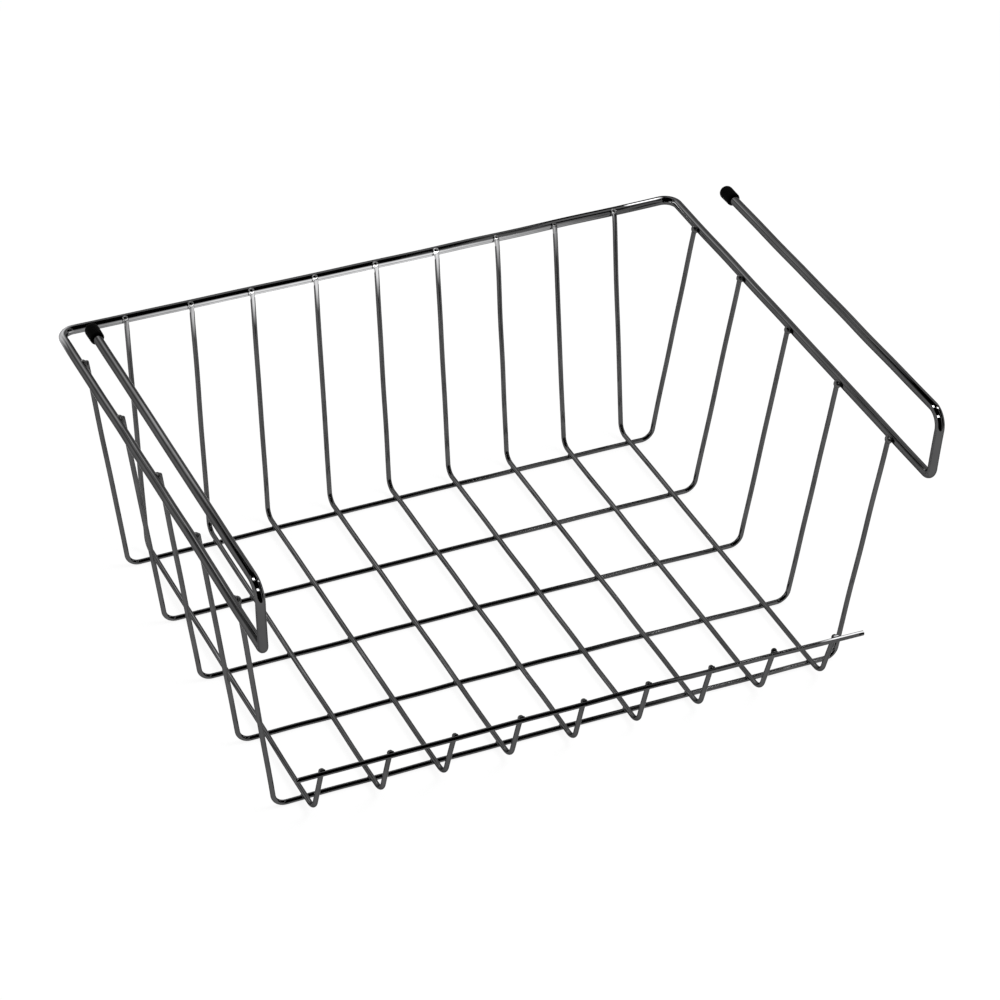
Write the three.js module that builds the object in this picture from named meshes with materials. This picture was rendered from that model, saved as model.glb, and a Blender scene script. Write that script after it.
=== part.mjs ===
// Wire drawer basket that hangs under a shelf
//
// One bent rod makes the hanger: two arms that lie on top of a shelf board, two risers in front of its edge
// and the rail that runs round the basket's rim. Nine wires run from the back of the rim down, forward along
// the floor and up into a low front lip. Five wires cross under them from side rail to side rail, a bar ties
// the lip, and a soft cap closes each arm. All joints between wires are welds.
//
// Millimetres. +X is to the right seen from the front, +Y to the back, +Z up. The origin lies in the middle
// of the basket's outline, on the surface that it stands on.

import * as THREE from 'three';

// Stock, and the gap left between two pieces that are welded or pushed together
const rodDiameter = 5.6;
const wireDiameter = 3;
const weldGap = 0.3;

// Hanger rod, between centre lines
const railSpan = 400;
const railDepth = 322;
const rimHeight = 149.5;
const armRise = 41.4;
const armSpread = 2.7;
const armToeIn = 1.9;
const armReach = 257.1;
const rimCornerRadius = 8.5;
const riserFootRadius = 6;
const riserTopRadius = 10;

// Basket walls: how far each comes in from the rail to the corner of the floor
const sideTaper = 25;
const backTaper = 27;
const frontSetback = 29;

// Floor wires, from the back rail to the tip of the lip
const floorWireCount = 9;
const outerWireInset = 16;
const backBendRadius = 7;
const backEndRise = 1.4;
const lipBendRadius = 10;
const lipLean = THREE.MathUtils.degToRad(17.7);
const lipLength = 39.6;

// Cross wires, from one side rail to the other
const crossWireCount = 5;
const firstCrossInset = 10.8;
const lastCrossInset = 15.2;
const crossBendRadius = 8;
const crossEndRise = 1.6;

// Bar along the lip
const lipBarOverhang = 17;
const lipBarDrop = 0.9;

// Soft caps on the arms
const capLength = 12.8;
const capDiameter = 8.5;
const capMouthDiameter = 8;
const capDomeLength = 4;
const capEndWall = 1.7;

// Facets: sides of a round section, steps round a bend, rings of a rounded end
const rodSides = 16;
const wireSides = 12;
const capSides = 24;
const bendSteps = 6;
const domeShares = [0, 0.35, 1];
const bluntShare = 0.4;

// Places that follow from the sizes
const rodRadius = rodDiameter / 2;
const wireRadius = wireDiameter / 2;
const wireStack = wireDiameter + weldGap;
const railStack = rodRadius + wireRadius + weldGap;
const crossFloorZ = wireRadius;
const floorWireZ = crossFloorZ + wireStack;
const railZ = crossFloorZ + rimHeight;
const armZ = railZ + armRise;
const backRailY = railDepth / 2;
const riserY = -railDepth / 2;
const railX = railSpan / 2;
const armFrontX = railX + armSpread;
const armEndX = armFrontX - armToeIn;
const armEndY = riserY + armReach;
const backFootY = backRailY - backTaper;
const lipFootY = riserY + frontSetback;
const floorHalfWidth = railX - sideTaper;

// A wire bent from straight runs and round bends. It has a station at each end of a run, a few round each
// bend and a few on each rounded end, and every station knows its own direction.
class BentWire extends THREE.Curve {
  constructor(corners, bendRadii, endRadius) {
    super();
    this.stations = [];
    const last = corners.length - 1;
    const direction = (from, to) => new THREE.Vector3().subVectors(to, from).normalize();
    const start = direction(corners[0], corners[1]);
    for (const share of domeShares) {
      this.addStation(corners[0].clone().addScaledVector(start, share * endRadius), start);
    }
    for (let i = 1; i < last; i += 1) {
      const before = direction(corners[i - 1], corners[i]);
      const after = direction(corners[i], corners[i + 1]);
      this.addBend(corners[i], before, after, bendRadii[i - 1]);
    }
    const end = direction(corners[last - 1], corners[last]);
    for (const share of domeShares.toReversed()) {
      this.addStation(corners[last].clone().addScaledVector(end, -share * endRadius), end);
    }
  }

  addStation(point, tangent) {
    this.stations.push({ point, tangent });
  }

  // Goes round a corner on a circle that touches both runs. A radius of zero only marks a place on a run.
  addBend(corner, before, after, radius) {
    if (radius === 0) {
      this.addStation(corner, before);
      return;
    }
    const turn = before.angleTo(after);
    const axis = new THREE.Vector3().crossVectors(before, after).normalize();
    const inward = new THREE.Vector3().crossVectors(axis, before);
    const setback = radius * Math.tan(turn / 2);
    const centre = corner.clone().addScaledVector(before, -setback).addScaledVector(inward, radius);
    for (let step = 0; step <= bendSteps; step += 1) {
      const angle = turn * step / bendSteps;
      const spoke = inward.clone().negate().applyAxisAngle(axis, angle);
      const tangent = before.clone().applyAxisAngle(axis, angle);
      this.addStation(centre.clone().addScaledVector(spoke, radius), tangent);
    }
  }

  // The stations are the steps: a share of the way is a share of their count
  getUtoTmapping(share) {
    return share;
  }

  getPoint(share, target = new THREE.Vector3()) {
    const place = share * (this.stations.length - 1);
    const index = Math.min(Math.round(place), this.stations.length - 1);
    return target.copy(this.stations[index].point);
  }

  getTangent(share, target = new THREE.Vector3()) {
    const index = Math.round(share * (this.stations.length - 1));
    return target.copy(this.stations[index].tangent);
  }
}

// Round section with as many flats as sides. The flats lie at the true radius and face along both axes.
function roundSection(radius, sides) {
  const cornerRadius = radius / Math.cos(Math.PI / sides);
  const points = [];
  for (let i = 0; i < sides; i += 1) {
    const angle = (i + 0.5) * 2 * Math.PI / sides;
    points.push(new THREE.Vector2(cornerRadius * Math.cos(angle), cornerRadius * Math.sin(angle)));
  }
  return new THREE.Shape(points);
}

// Draws the rings of one end in to a blunt dome
function domeEnd(geometry, tip, outward, radius) {
  const position = geometry.getAttribute('position');
  const base = tip.clone().addScaledVector(outward, -radius);
  const vertex = new THREE.Vector3();
  const reach = 2 * radius;
  for (let i = 0; i < position.count; i += 1) {
    vertex.fromBufferAttribute(position, i);
    if (vertex.distanceTo(tip) > reach) continue;
    const beyond = vertex.clone().sub(base).dot(outward);
    if (beyond <= 0) continue;
    const share = Math.min(beyond / radius, 1);
    const centre = base.clone().addScaledVector(outward, beyond);
    const drawIn = Math.sqrt(1 - share * share * (1 - bluntShare * bluntShare));
    vertex.sub(centre).multiplyScalar(drawIn).add(centre);
    position.setXYZ(i, vertex.x, vertex.y, vertex.z);
  }
}

// Solid wire along a bent path, with rounded ends
function bentWire(corners, bendRadii, diameter, sides) {
  const radius = diameter / 2;
  const path = new BentWire(corners, bendRadii, radius);
  const geometry = new THREE.ExtrudeGeometry(roundSection(radius, sides), {
    steps: path.stations.length - 1,
    extrudePath: path,
  });
  const first = path.stations[0];
  const last = path.stations.at(-1);
  domeEnd(geometry, first.point, first.tangent.clone().negate(), radius);
  domeEnd(geometry, last.point, last.tangent, radius);
  geometry.computeVertexNormals();
  return geometry;
}

// Blackened chrome of the rod and the wires
function darkChrome() {
  return new THREE.MeshStandardMaterial({ color: 0x555555, roughness: 0.22, metalness: 1 });
}

// Matt black soft plastic of the caps
function blackRubber() {
  return new THREE.MeshStandardMaterial({ color: 0x0c0c0c, roughness: 0.8, metalness: 0 });
}

function namedMesh(name, geometry, material) {
  const mesh = new THREE.Mesh(geometry, material);
  mesh.name = name;
  return mesh;
}

// Direction, from straight up, of a wall that starts this far in and down from a rail and passes its rod
// on the inside, one seat away from its centre
function wallLean(taper, rise) {
  return Math.atan2(taper, rise) - Math.asin(railStack / Math.hypot(taper, rise));
}

// Length of such a wall up to the place nearest to the rail's centre
function wallLength(taper, rise) {
  return Math.sqrt(taper * taper + rise * rise - railStack * railStack);
}

// Line of one arm, from its front corner to its rounded end. Side is -1 on the left and 1 on the right.
function armLine(side) {
  const front = new THREE.Vector3(side * armFrontX, riserY, armZ);
  const end = new THREE.Vector3(side * armEndX, armEndY, armZ);
  return new THREE.Line3(front, end);
}

// Hanger rod: arm, riser, side rail, back rail, side rail, riser, arm. The arms toe in to the back, and the
// flats that lie on the shelf board end just ahead of the caps.
function hangerFrame() {
  const left = armLine(-1);
  const right = armLine(1);
  const seatShare = 1 - capLength / left.distance();
  const corners = [
    left.end,
    left.at(seatShare, new THREE.Vector3()),
    left.start,
    new THREE.Vector3(-railX, riserY, railZ),
    new THREE.Vector3(-railX, backRailY, railZ),
    new THREE.Vector3(railX, backRailY, railZ),
    new THREE.Vector3(railX, riserY, railZ),
    right.start,
    right.at(seatShare, new THREE.Vector3()),
    right.end,
  ];
  const sideRadii = [0, riserTopRadius, riserFootRadius, rimCornerRadius];
  const radii = [...sideRadii, ...sideRadii.toReversed()];
  return namedMesh('hanger_frame', bentWire(corners, radii, rodDiameter, rodSides), darkChrome());
}

// Floor wires: back wall, floor and lip of each in one piece
function floorWires() {
  const group = new THREE.Group();
  const rise = railZ - floorWireZ;
  const lean = wallLean(backTaper, rise);
  const length = wallLength(backTaper, rise) + backEndRise;
  const backTop = new THREE.Vector3(0, length * Math.sin(lean), length * Math.cos(lean));
  const lipTip = new THREE.Vector3(0, -lipLength * Math.sin(lipLean), lipLength * Math.cos(lipLean));
  const backFoot = new THREE.Vector3(0, backFootY, 0);
  const lipFoot = new THREE.Vector3(0, lipFootY, 0);
  const corners = [backTop.add(backFoot), backFoot, lipFoot, lipTip.add(lipFoot)];
  const geometry = bentWire(corners, [backBendRadius, lipBendRadius], wireDiameter, wireSides);
  const outerX = floorHalfWidth - outerWireInset;
  for (let i = 0; i < floorWireCount; i += 1) {
    const wire = namedMesh(`floor_wire_${i + 1}`, geometry, darkChrome());
    wire.position.x = THREE.MathUtils.lerp(-outerX, outerX, i / (floorWireCount - 1));
    group.add(wire);
  }
  group.position.z = floorWireZ;
  return group;
}

// Cross wires: side wall, floor and side wall of each in one piece, under the floor wires
function crossWires() {
  const group = new THREE.Group();
  const lean = wallLean(sideTaper, rimHeight);
  const length = wallLength(sideTaper, rimHeight) + crossEndRise;
  const topX = floorHalfWidth + length * Math.sin(lean);
  const topZ = length * Math.cos(lean);
  const corners = [
    new THREE.Vector3(-topX, 0, topZ),
    new THREE.Vector3(-floorHalfWidth, 0, 0),
    new THREE.Vector3(floorHalfWidth, 0, 0),
    new THREE.Vector3(topX, 0, topZ),
  ];
  const geometry = bentWire(corners, [crossBendRadius, crossBendRadius], wireDiameter, wireSides);
  const firstY = backFootY - firstCrossInset;
  const lastY = lipFootY + lastCrossInset;
  for (let i = 0; i < crossWireCount; i += 1) {
    const wire = namedMesh(`cross_wire_${i + 1}`, geometry, darkChrome());
    wire.position.y = THREE.MathUtils.lerp(firstY, lastY, i / (crossWireCount - 1));
    group.add(wire);
  }
  group.position.z = crossFloorZ;
  return group;
}

// Bar along the outside of the lip, turned so that a flat of it faces the leaning wires
function lipBar() {
  const halfLength = floorHalfWidth - outerWireInset + lipBarOverhang;
  const ends = [new THREE.Vector3(-halfLength, 0, 0), new THREE.Vector3(halfLength, 0, 0)];
  const bar = namedMesh('lip_bar', bentWire(ends, [], wireDiameter, wireSides), darkChrome());
  const along = lipLength - lipBarDrop;
  const y = lipFootY - along * Math.sin(lipLean) - wireStack * Math.cos(lipLean);
  const z = floorWireZ + along * Math.cos(lipLean) - wireStack * Math.sin(lipLean);
  bar.position.set(0, y, z);
  bar.rotation.x = lipLean;
  return bar;
}

// Soft caps, each pushed over the rounded end of an arm
function endCaps() {
  const group = new THREE.Group();
  const capRadius = capDiameter / 2;
  const boreRadius = rodRadius + weldGap;
  const boreDomeBase = capLength - capEndWall - boreRadius;
  const domeBase = capLength - capDomeLength;
  const domeSteps = 6;
  const profile = [];
  for (let i = 0; i <= domeSteps; i += 1) {
    const angle = Math.PI / 2 * (1 - i / domeSteps);
    const x = i === 0 ? 0 : boreRadius * Math.cos(angle);
    profile.push(new THREE.Vector2(x, boreDomeBase + boreRadius * Math.sin(angle)));
  }
  profile.push(new THREE.Vector2(boreRadius, 0));
  profile.push(new THREE.Vector2(capMouthDiameter / 2, 0));
  for (let i = 0; i <= domeSteps; i += 1) {
    const angle = Math.PI / 2 * i / domeSteps;
    const x = i === domeSteps ? 0 : capRadius * Math.cos(angle);
    profile.push(new THREE.Vector2(x, domeBase + capDomeLength * Math.sin(angle)));
  }
  const geometry = new THREE.LatheGeometry(profile, capSides);
  const armToMouth = capLength - capEndWall - weldGap;
  const up = new THREE.Vector3(0, 1, 0);
  for (const [name, side] of [['left_end_cap', -1], ['right_end_cap', 1]]) {
    const arm = armLine(side);
    const outward = arm.delta(new THREE.Vector3()).normalize();
    const cap = namedMesh(name, geometry, blackRubber());
    cap.position.copy(arm.end).addScaledVector(outward, -armToMouth);
    cap.quaternion.setFromUnitVectors(up, outward);
    group.add(cap);
  }
  return group;
}

const basket = new THREE.Group();
basket.add(hangerFrame(), floorWires(), crossWires(), lipBar(), endCaps());

export default basket;
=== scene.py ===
import math
import random

import bpy
from mathutils import Matrix, Vector
from mathutils.bvhtree import BVHTree
from mathutils.interpolate import poly_3d_calc


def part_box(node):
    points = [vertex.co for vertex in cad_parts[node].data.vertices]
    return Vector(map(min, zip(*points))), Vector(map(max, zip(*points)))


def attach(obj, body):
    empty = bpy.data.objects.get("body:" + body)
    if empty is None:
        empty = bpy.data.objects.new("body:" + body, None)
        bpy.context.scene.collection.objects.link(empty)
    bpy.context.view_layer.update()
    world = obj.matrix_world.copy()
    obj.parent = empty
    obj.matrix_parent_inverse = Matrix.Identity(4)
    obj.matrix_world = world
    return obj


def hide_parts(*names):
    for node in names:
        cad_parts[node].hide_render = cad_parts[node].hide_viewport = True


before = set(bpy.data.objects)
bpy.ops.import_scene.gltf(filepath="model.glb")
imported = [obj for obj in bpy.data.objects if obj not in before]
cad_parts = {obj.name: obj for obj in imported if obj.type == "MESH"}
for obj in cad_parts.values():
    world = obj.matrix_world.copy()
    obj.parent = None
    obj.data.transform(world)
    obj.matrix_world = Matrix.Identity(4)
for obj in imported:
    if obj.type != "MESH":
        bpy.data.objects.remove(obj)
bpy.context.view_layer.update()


# Hanger rod
# One length of drawn steel rod, 5.6 mm thick, bent cold on a former into two arms, two risers, two side
# rails and the back rail. It is plated in dark bright chrome after welding, so plating covers the welds.

rod_radius = 0.0028
wire_radius = 0.0015
weld_sink = 0.0004
arm_spread = 0.0027
arm_toe_in = 0.0019
arm_reach = 0.2571
rim_corner_radius = 0.0085
riser_foot_radius = 0.006
riser_top_radius = 0.010

rod_low, rod_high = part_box("hanger_frame")
rail_z = rod_low.z + rod_radius
arm_z = rod_high.z - rod_radius
riser_y = rod_low.y + rod_radius
back_rail_y = rod_high.y - rod_radius
arm_front_x = rod_high.x - rod_radius
arm_end_x = arm_front_x - arm_toe_in
arm_end_y = riser_y + arm_reach
rail_x = arm_front_x - arm_spread


def bent_line(corners, bend_radii, run_step=0.004, bend_step=math.radians(6)):
    """Points along the middle of a wire that runs straight and turns on a former at each corner."""
    points = [corners[0]]
    for before, corner, after, radius in zip(corners, corners[1:], corners[2:], bend_radii):
        way_in = (corner - before).normalized()
        way_out = (after - corner).normalized()
        turn = way_in.angle(way_out)
        axis = way_in.cross(way_out).normalized()
        centre = corner - way_in * radius * math.tan(turn / 2) + axis.cross(way_in) * radius
        spoke = -axis.cross(way_in) * radius
        steps = max(2, math.ceil(turn / bend_step))
        for i in range(steps + 1):
            points.append(centre + Matrix.Rotation(turn * i / steps, 3, axis) @ spoke)
    points.append(corners[-1])
    line = [points[0]]
    for point in points[1:]:
        gap = point - line[-1]
        start = line[-1]
        pieces = max(1, round(gap.length / run_step))
        line += [start + gap * i / pieces for i in range(1, pieces + 1)]
    return line


def ways_along(line):
    """Direction of the line at each of its points."""
    ends = [line[0]] + line + [line[-1]]
    return [(after - before).normalized() for before, after in zip(ends, ends[2:])]


def drawn_wire(name, corners, bend_radii, radius, welds, sides=24, blunt=0.55):
    """Round wire with softly ground ends. It keeps two marks on its surface for the plating: the way it was
    drawn, and the heat of the welds near it."""
    sway = 0.00012
    shortest_wave, longest_wave = 0.05, 0.11
    steady_end = 0.01
    dome_flatness = 0.6
    dome_angles = [math.radians(degrees) for degrees in (75, 52, 32, 14)]
    chance = random.Random(name)
    line = bent_line(corners, bend_radii)
    length = sum((b - a).length for a, b in zip(line, line[1:]))
    waves = [(chance.uniform(shortest_wave, longest_wave), chance.uniform(0, math.tau)) for _ in range(4)]
    ways = ways_along(line)
    across = ways[0].orthogonal().normalized()
    rings = []
    gone = 0.0
    for i, (point, way) in enumerate(zip(line, ways)):
        if i:
            gone += (point - line[i - 1]).length
            across = (across - way * across.dot(way)).normalized()
        up = way.cross(across)
        held = min(1.0, gone / steady_end, (length - gone) / steady_end)
        shift_a = sum(math.sin(math.tau * gone / wave + start) for wave, start in waves[:2])
        shift_b = sum(math.sin(math.tau * gone / wave + start) for wave, start in waves[2:])
        middle = point + (across * shift_a + up * shift_b) * sway * held / 2
        rings.append((middle, way, across, up, gone, radius))
    first, last = rings[0], rings[-1]
    height = blunt * radius
    dome = [(math.sin(a) * height, math.cos(a) ** dome_flatness * radius) for a in dome_angles]
    head = [(first[0] + first[1] * (height - out), *first[1:4], -out, wide) for out, wide in dome]
    tail = [(last[0] - last[1] * (height - out), *last[1:4], length + out, wide) for out, wide in dome]
    rings = head + rings[1:-1] + tail[::-1]
    places = [first[0]]
    drawn = [(0.0, 0.0, 0.0)]
    for middle, way, side_way, up, gone, wide in rings:
        for j in range(sides):
            angle = math.tau * j / sides
            places.append(middle + (side_way * math.cos(angle) + up * math.sin(angle)) * wide)
            drawn.append((gone, radius * math.cos(angle), radius * math.sin(angle)))
    places.append(last[0])
    drawn.append((length, 0.0, 0.0))
    faces = [(0, 1 + (j + 1) % sides, 1 + j) for j in range(sides)]
    for i in range(len(rings) - 1):
        a, b = 1 + i * sides, 1 + (i + 1) * sides
        faces += [(a + j, a + (j + 1) % sides, b + (j + 1) % sides, b + j) for j in range(sides)]
    tip, edge = len(places) - 1, 1 + (len(rings) - 1) * sides
    faces += [(tip, edge + j, edge + (j + 1) % sides) for j in range(sides)]
    return plated_piece(name, places, faces, drawn, welds)


def plated_piece(name, places, faces, drawn, welds, heat_reach=0.0045):
    """A mesh with the marks that the plating reads: the way its metal was drawn, and the heat of welds."""
    mesh = bpy.data.meshes.new(name)
    mesh.from_pydata(places, [], faces)
    mesh.shade_smooth()
    mesh.attributes.new("drawn", "FLOAT_VECTOR", "POINT").data.foreach_set(
        "vector", [value for mark in drawn for value in mark])
    heat = [max((math.exp(-((place - weld).length / heat_reach) ** 2) for weld in welds), default=0.0)
            for place in places]
    mesh.attributes.new("heat", "FLOAT", "POINT").data.foreach_set("value", heat)
    piece = bpy.data.objects.new(name, mesh)
    bpy.context.scene.collection.objects.link(piece)
    return piece


def at_place(marks, place):
    """Value at one place along a line, from marks of place and value."""
    for (start, low), (end, high) in zip(marks, marks[1:]):
        if place <= end:
            return low + (high - low) * max(0.0, place - start) / (end - start)
    return marks[-1][1]


def socket(group, name, kind, direction="INPUT", default=None):
    made = group.interface.new_socket(name=name, in_out=direction, socket_type=kind)
    if default is not None:
        made.default_value = default


def plating_group():
    """Bright plating over drawn wire: faint lines along the draw, cloudy patches, pin-point pits, and a
    dull smoky bloom where a weld was made."""
    group = bpy.data.node_groups.new("Plating over drawn wire", "ShaderNodeTree")
    socket(group, "Base", "NodeSocketColor", default=(0.09, 0.09, 0.09, 1))
    socket(group, "Clouds", "NodeSocketFloat", default=0.12)
    socket(group, "Polish", "NodeSocketFloat", default=0.08)
    socket(group, "Bloom", "NodeSocketFloat", default=0.5)
    socket(group, "Color", "NodeSocketColor", "OUTPUT")
    socket(group, "Roughness", "NodeSocketFloat", "OUTPUT")
    socket(group, "Height", "NodeSocketFloat", "OUTPUT")
    nodes, links = group.nodes, group.links
    given, result = nodes.new("NodeGroupInput"), nodes.new("NodeGroupOutput")

    drawn = nodes.new("ShaderNodeAttribute")
    drawn.attribute_name = "drawn"
    heat = nodes.new("ShaderNodeAttribute")
    heat.attribute_name = "heat"

    stretch = nodes.new("ShaderNodeVectorMath")
    stretch.operation = "MULTIPLY"
    stretch.inputs[1].default_value = (45, 4200, 4200)
    links.new(drawn.outputs["Vector"], stretch.inputs[0])
    lines = nodes.new("ShaderNodeTexNoise")
    lines.inputs["Scale"].default_value = 1
    lines.inputs["Detail"].default_value = 3
    links.new(stretch.outputs[0], lines.inputs["Vector"])

    place = nodes.new("ShaderNodeTexCoord")
    clouds = nodes.new("ShaderNodeTexNoise")
    clouds.inputs["Scale"].default_value = 70
    clouds.inputs["Detail"].default_value = 4
    links.new(place.outputs["Object"], clouds.inputs["Vector"])
    pits = nodes.new("ShaderNodeTexVoronoi")
    pits.inputs["Scale"].default_value = 900
    links.new(place.outputs["Object"], pits.inputs["Vector"])
    pit = nodes.new("ShaderNodeMapRange")
    pit.inputs["From Min"].default_value = 0.03
    pit.inputs["From Max"].default_value = 0.16
    links.new(pits.outputs["Distance"], pit.inputs["Value"])

    cloud = nodes.new("ShaderNodeMapRange")
    cloud.inputs["From Min"].default_value = 0.3
    cloud.inputs["From Max"].default_value = 0.7
    cloud.inputs["To Min"].default_value = -1
    links.new(clouds.outputs["Fac"], cloud.inputs["Value"])
    deep = nodes.new("ShaderNodeMath")
    deep.operation = "MULTIPLY_ADD"
    deep.inputs[2].default_value = 1
    links.new(cloud.outputs[0], deep.inputs[0])
    links.new(given.outputs["Clouds"], deep.inputs[1])
    shade = nodes.new("ShaderNodeVectorMath")
    shade.operation = "SCALE"
    links.new(given.outputs["Base"], shade.inputs[0])
    links.new(deep.outputs[0], shade.inputs["Scale"])

    bloom = nodes.new("ShaderNodeMath")
    bloom.operation = "MULTIPLY"
    links.new(heat.outputs["Fac"], bloom.inputs[0])
    links.new(given.outputs["Bloom"], bloom.inputs[1])
    smoke = nodes.new("ShaderNodeMix")
    smoke.data_type = "RGBA"
    smoke.inputs["B"].default_value = (0.045, 0.043, 0.042, 1)
    links.new(bloom.outputs[0], smoke.inputs["Factor"])
    links.new(shade.outputs[0], smoke.inputs["A"])
    links.new(smoke.outputs["Result"], result.inputs["Color"])

    dull = nodes.new("ShaderNodeMath")
    dull.operation = "MULTIPLY_ADD"
    dull.inputs[1].default_value = 0.16
    links.new(bloom.outputs[0], dull.inputs[0])
    links.new(given.outputs["Polish"], dull.inputs[2])
    streaky = nodes.new("ShaderNodeMath")
    streaky.operation = "MULTIPLY_ADD"
    streaky.inputs[1].default_value = 0.05
    links.new(lines.outputs["Fac"], streaky.inputs[0])
    links.new(dull.outputs[0], streaky.inputs[2])
    links.new(streaky.outputs[0], result.inputs["Roughness"])

    grain = nodes.new("ShaderNodeMath")
    grain.operation = "MULTIPLY_ADD"
    grain.inputs[1].default_value = 0.6
    links.new(lines.outputs["Fac"], grain.inputs[0])
    links.new(pit.outputs[0], grain.inputs[2])
    links.new(grain.outputs[0], result.inputs["Height"])
    return group


plating = plating_group()


def dark_plating(name, base, clouds, polish, bloom, relief):
    """Dark bright chrome for one kind of wire, bead or tip: base is its colour and relief its bump."""
    material = bpy.data.materials.new(name)
    material.use_nodes = True
    nodes, links = material.node_tree.nodes, material.node_tree.links
    shader = nodes["Principled BSDF"]
    shader.inputs["Metallic"].default_value = 1
    shader.inputs["Specular Tint"].default_value = (0.4, 0.4, 0.4, 1)
    surface = nodes.new("ShaderNodeGroup")
    surface.node_tree = plating
    surface.inputs["Base"].default_value = (*base, 1)
    surface.inputs["Clouds"].default_value = clouds
    surface.inputs["Polish"].default_value = polish
    surface.inputs["Bloom"].default_value = bloom
    bump = nodes.new("ShaderNodeBump")
    bump.inputs["Strength"].default_value = relief
    bump.inputs["Distance"].default_value = 0.00002
    links.new(surface.outputs["Color"], shader.inputs["Base Color"])
    links.new(surface.outputs["Roughness"], shader.inputs["Roughness"])
    links.new(surface.outputs["Height"], bump.inputs["Height"])
    links.new(bump.outputs["Normal"], shader.inputs["Normal"])
    return material


floor_wires, cross_wires = 9, 5
floor_boxes = [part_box(f"floor_wire_{i + 1}") for i in range(floor_wires)]
cross_boxes = [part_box(f"cross_wire_{i + 1}") for i in range(cross_wires)]
floor_xs = [(wire_low.x + wire_high.x) / 2 for wire_low, wire_high in floor_boxes]
cross_ys = [(wire_low.y + wire_high.y) / 2 for wire_low, wire_high in cross_boxes]
rail_seat = rod_radius + wire_radius - weld_sink

# A hand-bent rod is never quite true: here the back rail runs a little askew, the left rail sags in front,
# and the risers and the arms' ends stand a little off their places.
askew_start_x = 0.01
askew = ((-rail_x, -0.0009), (askew_start_x, -0.0009), (rail_x, 0.0009))
sag_start_y = -0.05
sag = ((riser_y, -0.0018), (sag_start_y, 0.0), (back_rail_y, 0.0))
left_end_shift = Vector((-0.0005, 0.0008, 0))
left_top_shift = Vector((0.0002, -0.0030, 0))
left_foot_shift = Vector((0, -0.0010, 0))
right_riser_shift = Vector((0.0004, 0.0008, 0))
right_end_shift = Vector((0, 0.0008, 0))
left_foot_radius = 0.0038
sag_radius = 0.3
askew_radius = 0.4


def back_rail_at(x):
    """The middle of the back rail at one place across."""
    return Vector((x, back_rail_y + at_place(askew, x), rail_z))


def side_rail_at(side, y):
    """The middle of a side rail at one place from front to back. Side -1 is left and 1 is right."""
    return Vector((side * rail_x, y, rail_z + (at_place(sag, y) if side < 0 else 0)))


rod_corners = [
    Vector((-arm_end_x, arm_end_y, arm_z)) + left_end_shift,
    Vector((-arm_front_x, riser_y, arm_z)) + left_top_shift,
    side_rail_at(-1, riser_y) + left_foot_shift,
    side_rail_at(-1, sag_start_y),
    back_rail_at(-rail_x),
    back_rail_at(askew_start_x),
    back_rail_at(rail_x),
    side_rail_at(1, riser_y) + right_riser_shift,
    Vector((arm_front_x, riser_y, arm_z)) + right_riser_shift,
    Vector((arm_end_x, arm_end_y, arm_z)) + right_end_shift,
]
rod_bends = [riser_top_radius, left_foot_radius, sag_radius, rim_corner_radius, askew_radius,
             rim_corner_radius, riser_foot_radius, riser_top_radius]
rod_welds = [back_rail_at(x) - Vector((0, rod_radius, 0)) for x in floor_xs]
rod_welds += [side_rail_at(side, y) - Vector((side * rod_radius, 0, 0))
              for side in (-1, 1) for y in cross_ys]
rod = drawn_wire("hanger_rod", rod_corners, rod_bends, rod_radius, rod_welds, sides=32)
dark_chrome = (0.088, 0.088, 0.089)
rod_plating = dark_plating("rod plating", dark_chrome, clouds=0.10, polish=0.05, bloom=0.5, relief=0.25)
rod.data.materials.append(rod_plating)
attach(rod, "root")
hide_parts("hanger_frame")


# Cross wires
# Five 3 mm wires, each bent into a wide tray shape: side wall, floor and side wall. They lie lowest, and
# their ends are welded to the inside of the side rails and stand a little above them.

cross_bend_radius = 0.008
cross_end_rise = 0.0016
side_taper = 0.025
bow_radius = 0.5
cross_z = cross_boxes[0][0].z + wire_radius
floor_half_width = rail_x - side_taper


def wall_run(taper, rise, past):
    """How far out and up a wall reaches that starts this far inside and below a rail and leans on it."""
    reach = math.hypot(taper, rise)
    lean = math.atan2(taper, rise) - math.asin(rail_seat / reach)
    length = math.sqrt(reach * reach - rail_seat * rail_seat) + past
    return length * math.sin(lean), length * math.cos(lean)


side_out, side_up = wall_run(side_taper, rail_z - cross_z, cross_end_rise)
thin_plating = dark_plating("thin wire plating", dark_chrome,
                            clouds=0.14, polish=0.06, bloom=0.6, relief=0.3)
floor_z = cross_z + 2 * wire_radius - weld_sink
floor_weld_z = (cross_z + floor_z) / 2

# How far each cross wire wanders from its place: its left end, left foot, middle, right foot and right end
# to the back, and its left foot to the right.
cross_wander = (
    (0.0, -0.0005, 0.0006, 0.0004, 0.0, 0.0),
    (-0.0008, -0.0008, 0.0, 0.0003, -0.0002, 0.0010),
    (-0.0006, 0.0001, 0.0008, -0.0013, -0.0010, 0.0006),
    (0.0, -0.0009, -0.0002, -0.0022, -0.0020, 0.0005),
    (0.0012, -0.0003, 0.0002, -0.0012, -0.0023, -0.0018),
)

# How far each floor wire, which crosses them, wanders to the right: its top, back foot, front toe and tip.
floor_wander = (
    (-0.0009, -0.0001, -0.0002, -0.0006),
    (0.0002, 0.0003, 0.0005, 0.0003),
    (-0.0013, -0.0011, -0.0010, -0.0007),
    (-0.0005, -0.0001, -0.0003, -0.0003),
    (-0.0011, -0.0002, -0.0002, -0.0013),
    (-0.0011, 0.0, 0.0002, -0.0007),
    (-0.0008, 0.0, 0.0, -0.0008),
    (-0.0015, -0.0003, -0.0004, -0.0003),
    (-0.0007, 0.0, -0.0002, -0.0004),
)


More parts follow.
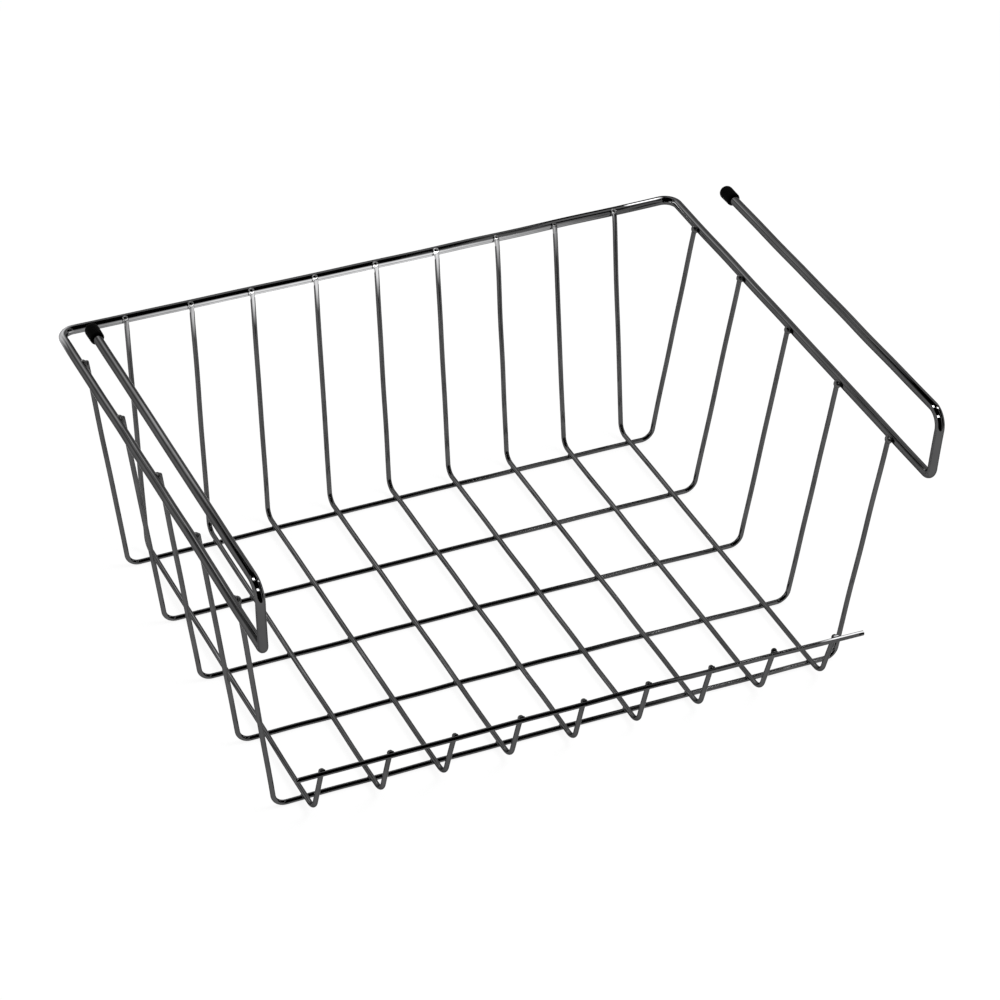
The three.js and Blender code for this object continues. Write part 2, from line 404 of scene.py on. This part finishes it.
def crosswise_y(number, x):
    """Where a cross wire lies on the floor."""
    left, middle, right = cross_wander[number][1:4]
    shifts = ((-floor_half_width, left), (0, middle), (floor_half_width, right))
    return cross_ys[number] + at_place(shifts, x)


def lengthwise_x(number, y):
    """Where a floor wire lies on the floor."""
    back, front = floor_wander[number][1:3]
    return floor_xs[number] + at_place(((riser_y, front), (back_rail_y, back)), y)


floor_crossings = [[Vector((lengthwise_x(i, y), crosswise_y(j, x), floor_weld_z))
                    for j, y in enumerate(cross_ys)] for i, x in enumerate(floor_xs)]
side_welds, side_tips = [], []

# The bead on each left end sits a little to the left of it, and the two ends in front are cut too short.
left_tip_shifts = (-0.0018, -0.0016, -0.0013, -0.0012, -0.0004)
left_tips_short = (0.0, 0.0, 0.0, 0.0008, 0.0018)
for number, y in enumerate(cross_ys):
    left_end, left_foot, middle, right_foot, right_end, foot_in = cross_wander[number]
    left_rail, right_rail = side_rail_at(-1, y + left_end), side_rail_at(1, y + right_end)
    left_end_z = cross_z + side_up + at_place(sag, y) - left_tips_short[number]
    corners = [
        Vector((-floor_half_width - side_out, y + left_end, left_end_z)),
        Vector((-floor_half_width + foot_in, y + left_foot, cross_z)),
        Vector((0, y + middle, cross_z)),
        Vector((floor_half_width, y + right_foot, cross_z)),
        Vector((floor_half_width + side_out, y + right_end, cross_z + side_up)),
    ]
    own_welds = [left_rail + Vector((rod_radius, 0, 0)), right_rail - Vector((rod_radius, 0, 0))]
    side_welds += [(own_welds[0], -1), (own_welds[1], 1)]
    side_tips += [corners[0] + Vector((left_tip_shifts[number], 0, 0)), corners[-1]]
    bends = [cross_bend_radius, bow_radius, cross_bend_radius]
    wire = drawn_wire(f"crosswise_wire_{number + 1}", corners, bends, wire_radius,
                      [row[number] for row in floor_crossings] + own_welds)
    wire.data.materials.append(thin_plating)
    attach(wire, "root")
    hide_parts(f"cross_wire_{number + 1}")


# Floor wires
# Nine 3 mm wires that run from the back rail down the back wall, forward over the cross wires and up into
# the low lip. They are welded to the back rail, to every cross wire and to the bar along the lip.

back_taper = 0.027
front_setback = 0.029
back_bend_radius = 0.007
back_end_rise = 0.0014
lip_bend_radius = 0.010
lip_lean = math.radians(17.7)
lip_length = 0.0396

back_foot_y = back_rail_y - back_taper
lip_foot_y = riser_y + front_setback
back_out, back_up = wall_run(back_taper, rail_z - floor_z, back_end_rise)
lip_bar_drop = 0.0009
lip_weld_along = lip_length - lip_bar_drop
lip_way = Vector((0, -math.sin(lip_lean), math.cos(lip_lean)))
lip_out = Vector((0, -math.cos(lip_lean), -math.sin(lip_lean)))

last_tip_short = 0.0022
back_tips, lip_tips = [], []
for number, x in enumerate(floor_xs):
    top_shift, foot_shift, toe_shift, tip_shift = floor_wander[number]
    last_one = number == floor_wires - 1
    reach = lip_length - (last_tip_short if last_one else 0)
    lip_line = Vector((x + tip_shift, lip_foot_y, floor_z))
    corners = [
        Vector((x + top_shift, back_foot_y + back_out + at_place(askew, x), floor_z + back_up)),
        Vector((x + foot_shift, back_foot_y, floor_z)),
        Vector((x + toe_shift, lip_foot_y, floor_z)),
        lip_line + lip_way * reach,
    ]
    welds = floor_crossings[number] + [
        back_rail_at(x + top_shift) - Vector((0, rod_radius, 0)),
        lip_line + lip_way * lip_weld_along + lip_out * wire_radius,
    ]
    back_tips.append(corners[0])
    lip_tips.append(corners[-1])
    wire = drawn_wire(f"lengthwise_wire_{number + 1}", corners, [back_bend_radius, lip_bend_radius],
                      wire_radius, welds)
    wire.data.materials.append(thin_plating)
    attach(wire, "root")
    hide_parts(f"floor_wire_{number + 1}")


# Lip bar
# A nearly straight 3 mm wire along the outside of the lip. It ties the tips of the nine floor wires, and
# its ends stand out past the last ones.

bar_low, bar_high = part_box("lip_bar")
bar_centre = Vector((0, lip_foot_y, floor_z)) + lip_way * lip_weld_along
bar_centre += lip_out * (2 * wire_radius - weld_sink)
bar_bow = ((bar_low.x, 0.0006), (0.05, 0.0008), (bar_high.x, -0.0015))
bar_bow_radius = 0.3
bar_end_height_share = 0.3


def bar_at(x):
    """The middle of the lip bar at one place across."""
    return Vector((x, bar_centre.y, bar_centre.z + at_place(bar_bow, x)))


lip_welds = [bar_at(x + floor_wander[i][3]) - lip_out * wire_radius for i, x in enumerate(floor_xs)]
bar = drawn_wire("lip_tie_bar", [bar_at(x) for x, _ in bar_bow], [bar_bow_radius], wire_radius, lip_welds,
                 blunt=bar_end_height_share)
bar.data.materials.append(thin_plating)
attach(bar, "root")
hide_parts("lip_bar")


# Welds
# Resistance welds: the hot wires sink into each other and squeeze out a small smooth bead in the four
# corners of each crossing. The wires' tips are rounded over in the same way, and the plating covers it all.

bead_wide = 0.00175
bead_thick = 0.00085
bead_sunk = 0.0002
bead_rings = 8
bead_sides = 20
tip_bead = 0.0020
lip_tip_wide, lip_tip_high = 0.9 * tip_bead, 0.88 * tip_bead
side_tip_wide, side_tip_high = 1.3 * tip_bead, 1.2 * tip_bead
back_tip_wide, back_tip_high = 1.05 * tip_bead, 1.05 * tip_bead
lip_tip_drop = 0.0013
side_tip_drop = 0.0016
back_tip_drop = 0.0007
back_tip_shift = Vector((-0.0003, 0.0008, 0.0005))
lip_tip_swell = 0.02
side_tip_swell = 0.02
back_tip_swell = 0.03


def weld_beads(name, crossings, wide, thick, material, swell=0.14):
    """Beads of one row of welds in one mesh. A crossing is a place and the ways of its two wires."""
    chance = random.Random(name)
    wide_spread, thick_spread = 0.08, 0.1
    places, faces = [], []
    for place, way_a, way_b in crossings:
        through = way_a.cross(way_b).normalized()
        across = through.cross(way_a)
        own_wide = wide * chance.uniform(1 - wide_spread, 1 + wide_spread)
        own_thick = thick * chance.uniform(1 - thick_spread, 1 + thick_spread)
        start = len(places)
        places.append(place + through * own_thick)
        for i in range(1, bead_rings):
            tilt = math.pi * i / bead_rings
            for j in range(bead_sides):
                angle = math.tau * j / bead_sides
                corner_swell = 1 - swell * math.cos(4 * angle)
                flat = (way_a * math.cos(angle) + across * math.sin(angle)) * own_wide * corner_swell
                places.append(place + flat * math.sin(tilt) + through * own_thick * math.cos(tilt))
        places.append(place - through * own_thick)
        end = len(places) - 1
        first, last = start + 1, end - bead_sides
        faces += [(start, first + j, first + (j + 1) % bead_sides) for j in range(bead_sides)]
        for i in range(bead_rings - 2):
            a = first + i * bead_sides
            b = a + bead_sides
            faces += [(a + j, b + j, b + (j + 1) % bead_sides, a + (j + 1) % bead_sides)
                      for j in range(bead_sides)]
        faces += [(end, last + (j + 1) % bead_sides, last + j) for j in range(bead_sides)]
    drawn = [tuple(place) for place in places]
    beads = plated_piece(name, places, faces, drawn, [place for place, _, _ in crossings])
    beads.data.materials.append(material)
    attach(beads, "root")


bead_plating = dark_plating("weld bead plating", dark_chrome,
                            clouds=0.2, polish=0.1, bloom=0.35, relief=0.6)
across_way, back_way, up_way = Vector((1, 0, 0)), Vector((0, 1, 0)), Vector((0, 0, 1))
wall_way = Vector((0, back_out, back_up)).normalized()
back_welds = [back_rail_at(x + floor_wander[i][0]) - Vector((0, rod_radius - bead_sunk, 0))
              for i, x in enumerate(floor_xs)]
weld_beads("floor_weld_beads", [(weld, across_way, back_way) for row in floor_crossings for weld in row],
           bead_wide, bead_thick, bead_plating)
weld_beads("back_rail_weld_beads", [(weld, across_way, wall_way) for weld in back_welds],
           bead_wide, bead_thick, bead_plating)

# The back rail's tips catch the light unevenly: each has its own width and a painted highlight tone.
back_tip_sizes = (0.95, 0.95, 1.0, 1.0, 1.0, 0.9, 0.75, 0.7, 0.8)
back_tip_painted_highlights = (0.16, 0.2, 0.24, 0.26, 0.26, 0.34, 0.2, 0.1, 0.25)
for number, (tip, size, tone) in enumerate(zip(back_tips, back_tip_sizes, back_tip_painted_highlights), start=1):
    tip_plating = dark_plating(f"back tip painted highlight plating {number}", (tone, tone, tone),
                               clouds=0.4, polish=0.04, bloom=0.1, relief=0.5)
    weld_beads(f"back_wire_tip_{number}",
               [(tip - wall_way * back_tip_drop + back_tip_shift, across_way, wall_way)],
               back_tip_wide * size, back_tip_high, tip_plating, back_tip_swell)

# The last two tips of the lip have a much darker base colour than the others, a painted shade.
painted_shade_lip_tips = 2
side_tip_plating = dark_plating("side tip plating", (0.1, 0.1, 0.1),
                                clouds=0.2, polish=0.3, bloom=0.1, relief=0.5)
painted_shade_tip_plating = dark_plating("painted shade tip plating", (0.022, 0.022, 0.022),
                                clouds=0.2, polish=0.3, bloom=0.1, relief=0.5)
for name, tips, tip_plating in (("lip_tip_beads", lip_tips[:-painted_shade_lip_tips], side_tip_plating),
                                ("right_lip_tip_beads", lip_tips[-painted_shade_lip_tips:], painted_shade_tip_plating)):
    weld_beads(name, [(tip - lip_way * lip_tip_drop, across_way, lip_way) for tip in tips],
               lip_tip_wide, lip_tip_high, tip_plating, lip_tip_swell)
weld_beads("side_tip_beads", [(tip - up_way * side_tip_drop, back_way, up_way) for tip in side_tips],
           side_tip_wide, side_tip_high, side_tip_plating, side_tip_swell)
side_crossings = [(weld + Vector((side * bead_sunk, 0, 0)), back_way,
                   Vector((side * side_out, 0, side_up)).normalized()) for weld, side in side_welds]
weld_beads("side_rail_weld_beads", side_crossings, bead_wide, bead_thick, bead_plating)
weld_beads("lip_weld_beads", [(weld, across_way, lip_way) for weld in lip_welds],
           bead_wide, bead_thick, bead_plating)


# End caps
# Soft black plastic caps, dipped or moulded, pushed over the ends of the arms. They are matt, with a fine
# moulded grain, a faint parting line and a rounded lip at the mouth.

cap_length = 0.0128
cap_radius = 0.00425
cap_mouth_radius = 0.0041
cap_dome = 0.0038
cap_end_wall = 0.0017
cap_lip = 0.0006
cap_dome_fullness = 0.9
cap_bore_depth = cap_length / 2
cap_bore_radius = rod_radius + 0.00002
cap_seam = 0.00006
cap_seam_least_radius = cap_bore_radius * 1.2
cap_sides = 48


def soft_plastic():
    """Matt black plastic with a fine moulded grain and faint smudges."""
    material = bpy.data.materials.new("soft black plastic")
    material.use_nodes = True
    nodes, links = material.node_tree.nodes, material.node_tree.links
    shader = nodes["Principled BSDF"]
    shader.inputs["Specular IOR Level"].default_value = 0.02
    place = nodes.new("ShaderNodeTexCoord")
    grain = nodes.new("ShaderNodeTexNoise")
    grain.inputs["Scale"].default_value = 1600
    grain.inputs["Detail"].default_value = 2
    smudge = nodes.new("ShaderNodeTexNoise")
    smudge.inputs["Scale"].default_value = 180
    links.new(place.outputs["Object"], grain.inputs["Vector"])
    links.new(place.outputs["Object"], smudge.inputs["Vector"])
    tone = nodes.new("ShaderNodeMix")
    tone.data_type = "RGBA"
    tone.inputs["A"].default_value = (0.0008, 0.0008, 0.0008, 1)
    tone.inputs["B"].default_value = (0.0022, 0.0022, 0.0022, 1)
    links.new(smudge.outputs["Fac"], tone.inputs["Factor"])
    links.new(tone.outputs["Result"], shader.inputs["Base Color"])
    matt = nodes.new("ShaderNodeMapRange")
    matt.inputs["To Min"].default_value = 0.6
    matt.inputs["To Max"].default_value = 0.85
    links.new(smudge.outputs["Fac"], matt.inputs["Value"])
    links.new(matt.outputs[0], shader.inputs["Roughness"])
    bump = nodes.new("ShaderNodeBump")
    bump.inputs["Strength"].default_value = 0.5
    bump.inputs["Distance"].default_value = 0.00008
    links.new(grain.outputs["Fac"], bump.inputs["Height"])
    links.new(bump.outputs["Normal"], shader.inputs["Normal"])
    return material


def end_cap(name, node, arm_end, arm_front, material):
    """A cap round the end of an arm, turned from its domed tip to its lip and half way up its bore."""
    way = (arm_end - arm_front).normalized()
    across = way.cross(up_way).normalized()
    up = across.cross(way)
    tip = arm_end + way * cap_end_wall
    barrel_length = cap_length - cap_dome
    lip_middle = (cap_mouth_radius + cap_bore_radius) / 2
    lip_half = (cap_mouth_radius - cap_bore_radius) / 2
    dome_angles = [math.radians(degrees) for degrees in range(80, -1, -10)]
    barrel_shares = (0.35, 0.6, 0.8)
    lip_angles = [math.radians(degrees) for degrees in range(0, 181, 30)]
    profile = []
    for angle in dome_angles:
        rise = cap_dome * math.sin(angle) ** cap_dome_fullness
        profile.append((barrel_length + rise, cap_radius * math.cos(angle)))
    for share in barrel_shares:
        profile.append((barrel_length * (1 - share), cap_radius + (cap_mouth_radius - cap_radius) * share))
    for angle in lip_angles:
        profile.append((cap_lip - cap_lip * math.sin(angle), lip_middle + lip_half * math.cos(angle)))
    profile.append((cap_bore_depth, cap_bore_radius))
    places = [tip]
    for far, wide in profile:
        for j in range(cap_sides):
            angle = math.tau * j / cap_sides
            seam = cap_seam if j in (0, cap_sides // 2) and wide > cap_seam_least_radius else 0
            ray = across * math.cos(angle) + up * math.sin(angle)
            places.append(tip - way * (cap_length - far) + ray * (wide + seam))
    places.append(tip - way * (cap_length - cap_bore_depth))
    faces = [(0, 1 + j, 1 + (j + 1) % cap_sides) for j in range(cap_sides)]
    for i in range(len(profile) - 1):
        a, b = 1 + i * cap_sides, 1 + (i + 1) * cap_sides
        faces += [(a + j, b + j, b + (j + 1) % cap_sides, a + (j + 1) % cap_sides)
                  for j in range(cap_sides)]
    last, end = 1 + (len(profile) - 1) * cap_sides, len(places) - 1
    faces += [(end, last + (j + 1) % cap_sides, last + j) for j in range(cap_sides)]
    mesh = bpy.data.meshes.new(name)
    mesh.from_pydata(places, [], faces)
    mesh.shade_smooth()
    mesh.materials.append(material)
    cap = bpy.data.objects.new(name, mesh)
    bpy.context.scene.collection.objects.link(cap)
    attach(cap, "root")
    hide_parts(node)


cap_material = soft_plastic()
end_cap("left_arm_cap", "left_end_cap", rod_corners[0], rod_corners[1], cap_material)
end_cap("right_arm_cap", "right_end_cap", rod_corners[-1], rod_corners[-2], cap_material)


# Studio
# A white table in a white room, with two soft boxes. Cards and small lamps that only the plating sees draw
# the dark and bright lines on it. The cards hang over the basket, behind it and in front of it.

bpy.context.scene.view_settings.view_transform = "Standard"


def seen_or_mirrored(nodes, links):
    """1 for what the camera sees directly or in a gloss or through glass, and 0 for light on the object."""
    path = nodes.new("ShaderNodeLightPath")
    either = nodes.new("ShaderNodeMath")
    either.operation = "MAXIMUM"
    links.new(path.outputs["Is Camera Ray"], either.inputs[0])
    links.new(path.outputs["Is Glossy Ray"], either.inputs[1])
    any_of = nodes.new("ShaderNodeMath")
    any_of.operation = "MAXIMUM"
    links.new(either.outputs[0], any_of.inputs[0])
    links.new(path.outputs["Is Transmission Ray"], any_of.inputs[1])
    return any_of.outputs[0]


def table_material(paper=0.22, glow=0.86):
    material = bpy.data.materials.new("white table")
    material.use_nodes = True
    nodes, links = material.node_tree.nodes, material.node_tree.links
    nodes.remove(nodes["Principled BSDF"])
    plain = nodes.new("ShaderNodeBsdfDiffuse")
    plain.inputs["Color"].default_value = (paper, paper, paper, 1)
    white = nodes.new("ShaderNodeEmission")
    level = nodes.new("ShaderNodeMath")
    level.operation = "MULTIPLY"
    level.inputs[1].default_value = glow
    links.new(seen_or_mirrored(nodes, links), level.inputs[0])
    links.new(level.outputs[0], white.inputs["Strength"])
    both = nodes.new("ShaderNodeAddShader")
    links.new(plain.outputs[0], both.inputs[0])
    links.new(white.outputs[0], both.inputs[1])
    links.new(both.outputs[0], nodes["Material Output"].inputs["Surface"])
    return material


def sheet(name, corners, material):
    mesh = bpy.data.meshes.new(name)
    mesh.from_pydata(corners, [], [tuple(range(len(corners)))])
    mesh.materials.append(material)
    made = bpy.data.objects.new(name, mesh)
    bpy.context.scene.collection.objects.link(made)
    return made


table_reach = 12
table_z = -0.0001
table_sides = 64
table_turns = [math.tau * i / table_sides for i in range(table_sides)]
table = sheet("white_table", [(math.cos(turn) * table_reach, math.sin(turn) * table_reach, table_z)
                              for turn in table_turns], table_material())
table.visible_glossy = False

world = bpy.data.worlds.new("white room")
bpy.context.scene.world = world
world.use_nodes = True
room_level = 0.55
room_nodes, room_links = world.node_tree.nodes, world.node_tree.links
room_strength = room_nodes.new("ShaderNodeMapRange")
room_strength.inputs["To Min"].default_value = room_level
room_strength.inputs["To Max"].default_value = 1.0
room_links.new(seen_or_mirrored(room_nodes, room_links), room_strength.inputs["Value"])
room_nodes["Background"].inputs["Color"].default_value = (1, 1, 1, 1)
room_links.new(room_strength.outputs[0], room_nodes["Background"].inputs["Strength"])


def show_only_in_gloss(made):
    made.visible_camera = False
    made.visible_diffuse = False
    made.visible_transmission = False
    made.visible_volume_scatter = False


def card(name, rows, cover, level=0, one_sided=False):
    """A card that only the plating sees, and only from its front if it is one-sided. Each row of places runs
    across it. The cover says how much of it is there: 1 in the middle and 0 along a soft edge."""
    width = len(rows[0])
    mesh = bpy.data.meshes.new(name)
    mesh.from_pydata([place for row in rows for place in row], [],
                     [(width * i + j, width * i + j + 1, width * (i + 1) + j + 1, width * (i + 1) + j)
                      for i in range(len(rows) - 1) for j in range(width - 1)])
    mesh.attributes.new("cover", "FLOAT", "POINT").data.foreach_set("value", cover)
    material = bpy.data.materials.new(name)
    material.use_nodes = True
    nodes, links = material.node_tree.nodes, material.node_tree.links
    nodes.remove(nodes["Principled BSDF"])
    tone = nodes.new("ShaderNodeEmission")
    tone.inputs["Strength"].default_value = level
    clear = nodes.new("ShaderNodeBsdfTransparent")
    edge = nodes.new("ShaderNodeAttribute")
    edge.attribute_name = "cover"
    kept = nodes.new("ShaderNodeMath")
    kept.operation = "SUBTRACT"
    kept.use_clamp = True
    kept.inputs[1].default_value = 0
    links.new(edge.outputs["Fac"], kept.inputs[0])
    if one_sided:
        side = nodes.new("ShaderNodeNewGeometry")
        links.new(side.outputs["Backfacing"], kept.inputs[1])
    both = nodes.new("ShaderNodeMixShader")
    links.new(kept.outputs[0], both.inputs["Fac"])
    links.new(clear.outputs[0], both.inputs[1])
    links.new(tone.outputs[0], both.inputs[2])
    links.new(both.outputs[0], nodes["Material Output"].inputs["Surface"])
    mesh.materials.append(material)
    made = bpy.data.objects.new(name, mesh)
    bpy.context.scene.collection.objects.link(made)
    show_only_in_gloss(made)
    made.visible_shadow = False


def area_lamp(name, wide, high, power):
    """A rectangular lamp that shines down from the origin. The power is for each square metre of it."""
    lamp = bpy.data.lights.new(name, "AREA")
    lamp.shape = "RECTANGLE"
    lamp.size = wide
    lamp.size_y = high
    lamp.energy = power * wide * high
    made = bpy.data.objects.new(name, lamp)
    bpy.context.scene.collection.objects.link(made)
    return made


def fade_edges(lamp, soft_share):
    """Fades a lamp out along its four edges, over a share of its length and height."""
    edge = 0.5
    lamp.use_nodes = True
    nodes, links = lamp.node_tree.nodes, lamp.node_tree.links
    place = nodes.new("ShaderNodeNewGeometry")
    parts = nodes.new("ShaderNodeSeparateXYZ")
    links.new(place.outputs["Parametric"], parts.inputs[0])
    both = nodes.new("ShaderNodeMath")
    both.operation = "MULTIPLY"
    for number, part in enumerate(("X", "Y")):
        from_middle = nodes.new("ShaderNodeMath")
        from_middle.operation = "SUBTRACT"
        from_middle.inputs[1].default_value = edge
        links.new(parts.outputs[part], from_middle.inputs[0])
        outward = nodes.new("ShaderNodeMath")
        outward.operation = "ABSOLUTE"
        links.new(from_middle.outputs[0], outward.inputs[0])
        fade = nodes.new("ShaderNodeMapRange")
        fade.inputs["From Min"].default_value = edge
        fade.inputs["From Max"].default_value = edge - soft_share
        links.new(outward.outputs[0], fade.inputs["Value"])
        links.new(fade.outputs[0], both.inputs[number])
    links.new(both.outputs[0], nodes["Emission"].inputs["Strength"])


def plating_lamp(name, middle, front, along, high, level, soft_share=0.0):
    """A lamp that shows only in the plating, and only from its front. It is as long as the vector that it
    runs along, and its level sets how bright it looks there."""
    power_at_level_one = 4
    made = area_lamp(name, along.length, high, power_at_level_one * level)
    if soft_share:
        fade_edges(made.data, soft_share)
    side = along.normalized()
    back = -front.normalized()
    back = (back - side * back.dot(side)).normalized()
    made.matrix_world = Matrix((side, back.cross(side), back)).transposed().to_4x4()
    made.location = middle
    show_only_in_gloss(made)


def soft_steps(low, high, soft):
    """Places across a card and its cover at each, with a soft edge at both ends."""
    return [(low, 0.0), (low + soft, 1.0), (high - soft, 1.0), (high, 0.0)]


def ceiling_card(name, x_span, y_span, level=0, soft=0.02):
    """A flat card overhead."""
    ceiling_z = 0.78
    xs, ys = soft_steps(*x_span, soft), soft_steps(*y_span, soft)
    card(name, [[(x, y, ceiling_z) for x, _ in xs] for y, _ in ys], [a * b for _, b in ys for _, a in xs],
         level)


def vault_card(name, x_span, angles, radius=1.6):
    """A dark card bent round the left-to-right axis. Angle 0 is behind the object and 90 is over it."""
    soft, step = 0.03, 5
    xs = soft_steps(*x_span, soft)
    turns = [math.radians(angle) for angle in range(angles[0], angles[1] + 1, step)]
    card(name, [[(x, radius * math.cos(turn), radius * math.sin(turn)) for x, _ in xs] for turn in turns],
         [cover for _ in turns for _, cover in xs])


vault_card("dark_vault", x_span=(-3, 0.69), angles=(65, 195))
vault_card("dark_vault_edge", x_span=(0.63, 0.88), angles=(15, 60))
vault_card("dark_vault_front", x_span=(0.74, 0.92), angles=(100, 135))
vault_card("dark_right_vault", x_span=(1.0, 4), angles=(65, 195), radius=1.62)
ceiling_card("dark_ceiling_end", x_span=(-0.42, -0.12), y_span=(0.50, 0.68))
ceiling_card("dark_ceiling_front", x_span=(-0.27, 0.08), y_span=(0.42, 0.58))
ceiling_card("left_ceiling_end", x_span=(-0.75, -0.42), y_span=(0.50, 0.80), level=0.2)
ceiling_card("top_strip", x_span=(-0.29, 0.11), y_span=(0.74, 1.8), level=2.5, soft=0.06)
ceiling_card("left_dark_strip", x_span=(-1.15, -0.42), y_span=(0.68, 2.2), level=0.45, soft=0.05)
plating_lamp("left_corner_lamp", middle=Vector((-0.205, 0.172, 0.150)), front=-back_way,
             along=across_way * 0.04, high=0.05, level=3.6, soft_share=0.22)


def wire_lamp(name, line_at, turn, distance, x_span, high, level, soft_share):
    """A strip lamp along the back rail or the lip bar, turned round it: 0 is behind it and 90 is over it."""
    turn = math.radians(turn)
    way = Vector((0, math.cos(turn), math.sin(turn)))
    middle = line_at((x_span[0] + x_span[1]) / 2) + way * distance
    plating_lamp(name, middle, -way, across_way * (x_span[1] - x_span[0]), high, level, soft_share)


wire_lamp("back_rail_lamp", back_rail_at, turn=190, distance=0.030, x_span=(-0.215, 0.160), high=0.040,
          level=6.3, soft_share=0.35)
wire_lamp("under_rail_lamp", back_rail_at, turn=228, distance=0.005, x_span=(-0.215, 0.160), high=0.0048,
          level=6.3, soft_share=0.35)
wire_lamp("low_rail_lamp", back_rail_at, turn=270, distance=0.005, x_span=(-0.215, 0.160), high=0.0042,
          level=6.3, soft_share=0.35)
wire_lamp("rail_end_lamp", back_rail_at, turn=87.5, distance=0.005, x_span=(0.167, 0.194), high=0.0028,
          level=14, soft_share=0.15)
wire_lamp("lip_end_lamp", bar_at, turn=78, distance=0.004, x_span=(0.148, 0.196), high=0.006,
          level=10, soft_share=0.22)

over_arms_z = 0.2275


def arm_card(name, x_span, y_span, soft_front, soft_back):
    """A dark card over the front of an arm, seen only from below."""
    soft_side = 0.006
    xs = soft_steps(*x_span, soft_side)[::-1]
    front, back = y_span
    ys = [(front, 0.0), (front + soft_front, 1.0), (back - soft_back, 1.0), (back, 0.0)]
    card(name, [[(x, y, over_arms_z) for x, _ in xs] for y, _ in ys], [a * b for _, b in ys for _, a in xs],
         one_sided=True)


arm_card("right_bend_card", x_span=(0.128, 0.226), y_span=(-0.153, -0.068),
         soft_front=0.004, soft_back=0.030)
arm_card("left_bend_card", x_span=(-0.240, -0.165), y_span=(-0.153, -0.108),
         soft_front=0.004, soft_back=0.008)
arm_card("left_arm_end_card", x_span=(-0.268, -0.208), y_span=(-0.120, -0.060),
         soft_front=0.010, soft_back=0.030)
plating_lamp("left_arm_lamp", middle=Vector((-0.1915, 0.010, over_arms_z)), front=-up_way,
             along=back_way * 0.15, high=0.043, level=1.5, soft_share=0.25)


def soft_box(name, azimuth, elevation, distance, wide, high, level):
    """A large soft lamp that faces the object and doesn't show in the plating."""
    made = area_lamp(name, wide, high, math.pi * level)
    turn, climb = math.radians(azimuth), math.radians(elevation)
    place = Vector((math.sin(turn) * math.cos(climb), -math.cos(turn) * math.cos(climb), math.sin(climb)))
    place *= distance
    made.location = place
    made.rotation_euler = (-place).to_track_quat("-Z", "Y").to_euler()
    made.visible_camera = False
    made.visible_glossy = False


soft_box("right_soft_box", azimuth=70, elevation=60, distance=1.6, wide=0.7, high=0.6, level=5)
soft_box("front_soft_box", azimuth=-10, elevation=50, distance=2.0, wide=0.6, high=0.5, level=1.2)


# Camera
# Set where the photograph was taken from: to the left of the middle, above the rim, with a long lens.

camera_place = Vector((-0.76954, -1.62606, 1.37913))
camera_azimuth = math.radians(25.655)
camera_dip = math.radians(35.759)
camera_roll = math.radians(2.0)
camera = bpy.data.objects.new("camera", bpy.data.cameras.new("camera"))
bpy.context.scene.collection.objects.link(camera)
camera.data.sensor_fit = "HORIZONTAL"
camera.data.sensor_width = 36
camera.data.lens = 137.58
camera.data.clip_end = 60
level_reach = math.cos(camera_dip)
look = Vector((math.sin(camera_azimuth) * level_reach, math.cos(camera_azimuth) * level_reach,
               -math.sin(camera_dip)))
roll = Matrix.Rotation(camera_roll, 3, "Z").to_quaternion()
camera.location = camera_place
camera.rotation_mode = "QUATERNION"
camera.rotation_quaternion = look.to_track_quat("-Z", "Y") @ roll
bpy.context.scene.camera = camera


# Glints
# Small lamps over the front bends of the rod, where the bright plating mirrors them to the camera. Each is
# set from one glint: its place across and down in the photograph, half its width and half its height, all
# in the photograph's pixels, and the level of its lamp.

photo_pixels = 1000
glint_distance = 0.03
bright, faint = 18, 7
right_arm_glint = (933.3, 406.3, 1.0, 0.9, bright)
right_bend_glint = (937.8, 407.7, 0.7, 0.7, bright)
right_riser_glint = (938.3, 416.5, 1.1, 0.9, bright)
left_arm_glint = (253.5, 579.0, 1.2, 1.0, bright)
left_bend_glint = (258.5, 581.0, 0.7, 0.6, faint)
left_riser_glint = (258.0, 589.8, 1.2, 1.0, bright)
rod_tree = BVHTree.FromPolygons([point.co for point in rod.data.vertices],
                                [tuple(face.vertices) for face in rod.data.polygons])


def mirrored_place(pixel_x, pixel_y):
    """The spot on the rod that the camera sees at a pixel, and a place near it that is mirrored there."""
    scale = camera.data.lens / camera.data.sensor_width * photo_pixels
    ray = Vector(((pixel_x - photo_pixels / 2) / scale, (photo_pixels / 2 - pixel_y) / scale, -1))
    ray = (camera.rotation_quaternion @ ray).normalized()
    spot, _, number, _ = rod_tree.ray_cast(camera.location, ray)
    corners = [rod.data.vertices[i] for i in rod.data.polygons[number].vertices]
    shares = poly_3d_calc([corner.co for corner in corners], spot)
    normal = sum((corner.normal * share for corner, share in zip(corners, shares)), Vector())
    return spot, spot + ray.reflect(normal.normalized()) * glint_distance


def glint_lamp(name, glint):
    """A lamp as large as its glint, with its front to the rod."""
    pixel_x, pixel_y, half_wide, half_high, level = glint
    spot, middle = mirrored_place(pixel_x, pixel_y)
    left, right = [mirrored_place(pixel_x + side * half_wide, pixel_y)[1] for side in (-1, 1)]
    lower, upper = [mirrored_place(pixel_x, pixel_y + side * half_high)[1] for side in (1, -1)]
    along = right - left
    across = upper - lower
    across -= along * across.dot(along) / along.length_squared
    plating_lamp(name, middle, spot - middle, along, across.length, level)


glint_lamp("right_arm_glint_lamp", right_arm_glint)
glint_lamp("right_bend_glint_lamp", right_bend_glint)
glint_lamp("right_riser_glint_lamp", right_riser_glint)
glint_lamp("left_arm_glint_lamp", left_arm_glint)
glint_lamp("left_bend_glint_lamp", left_bend_glint)
glint_lamp("left_riser_glint_lamp", left_riser_glint)
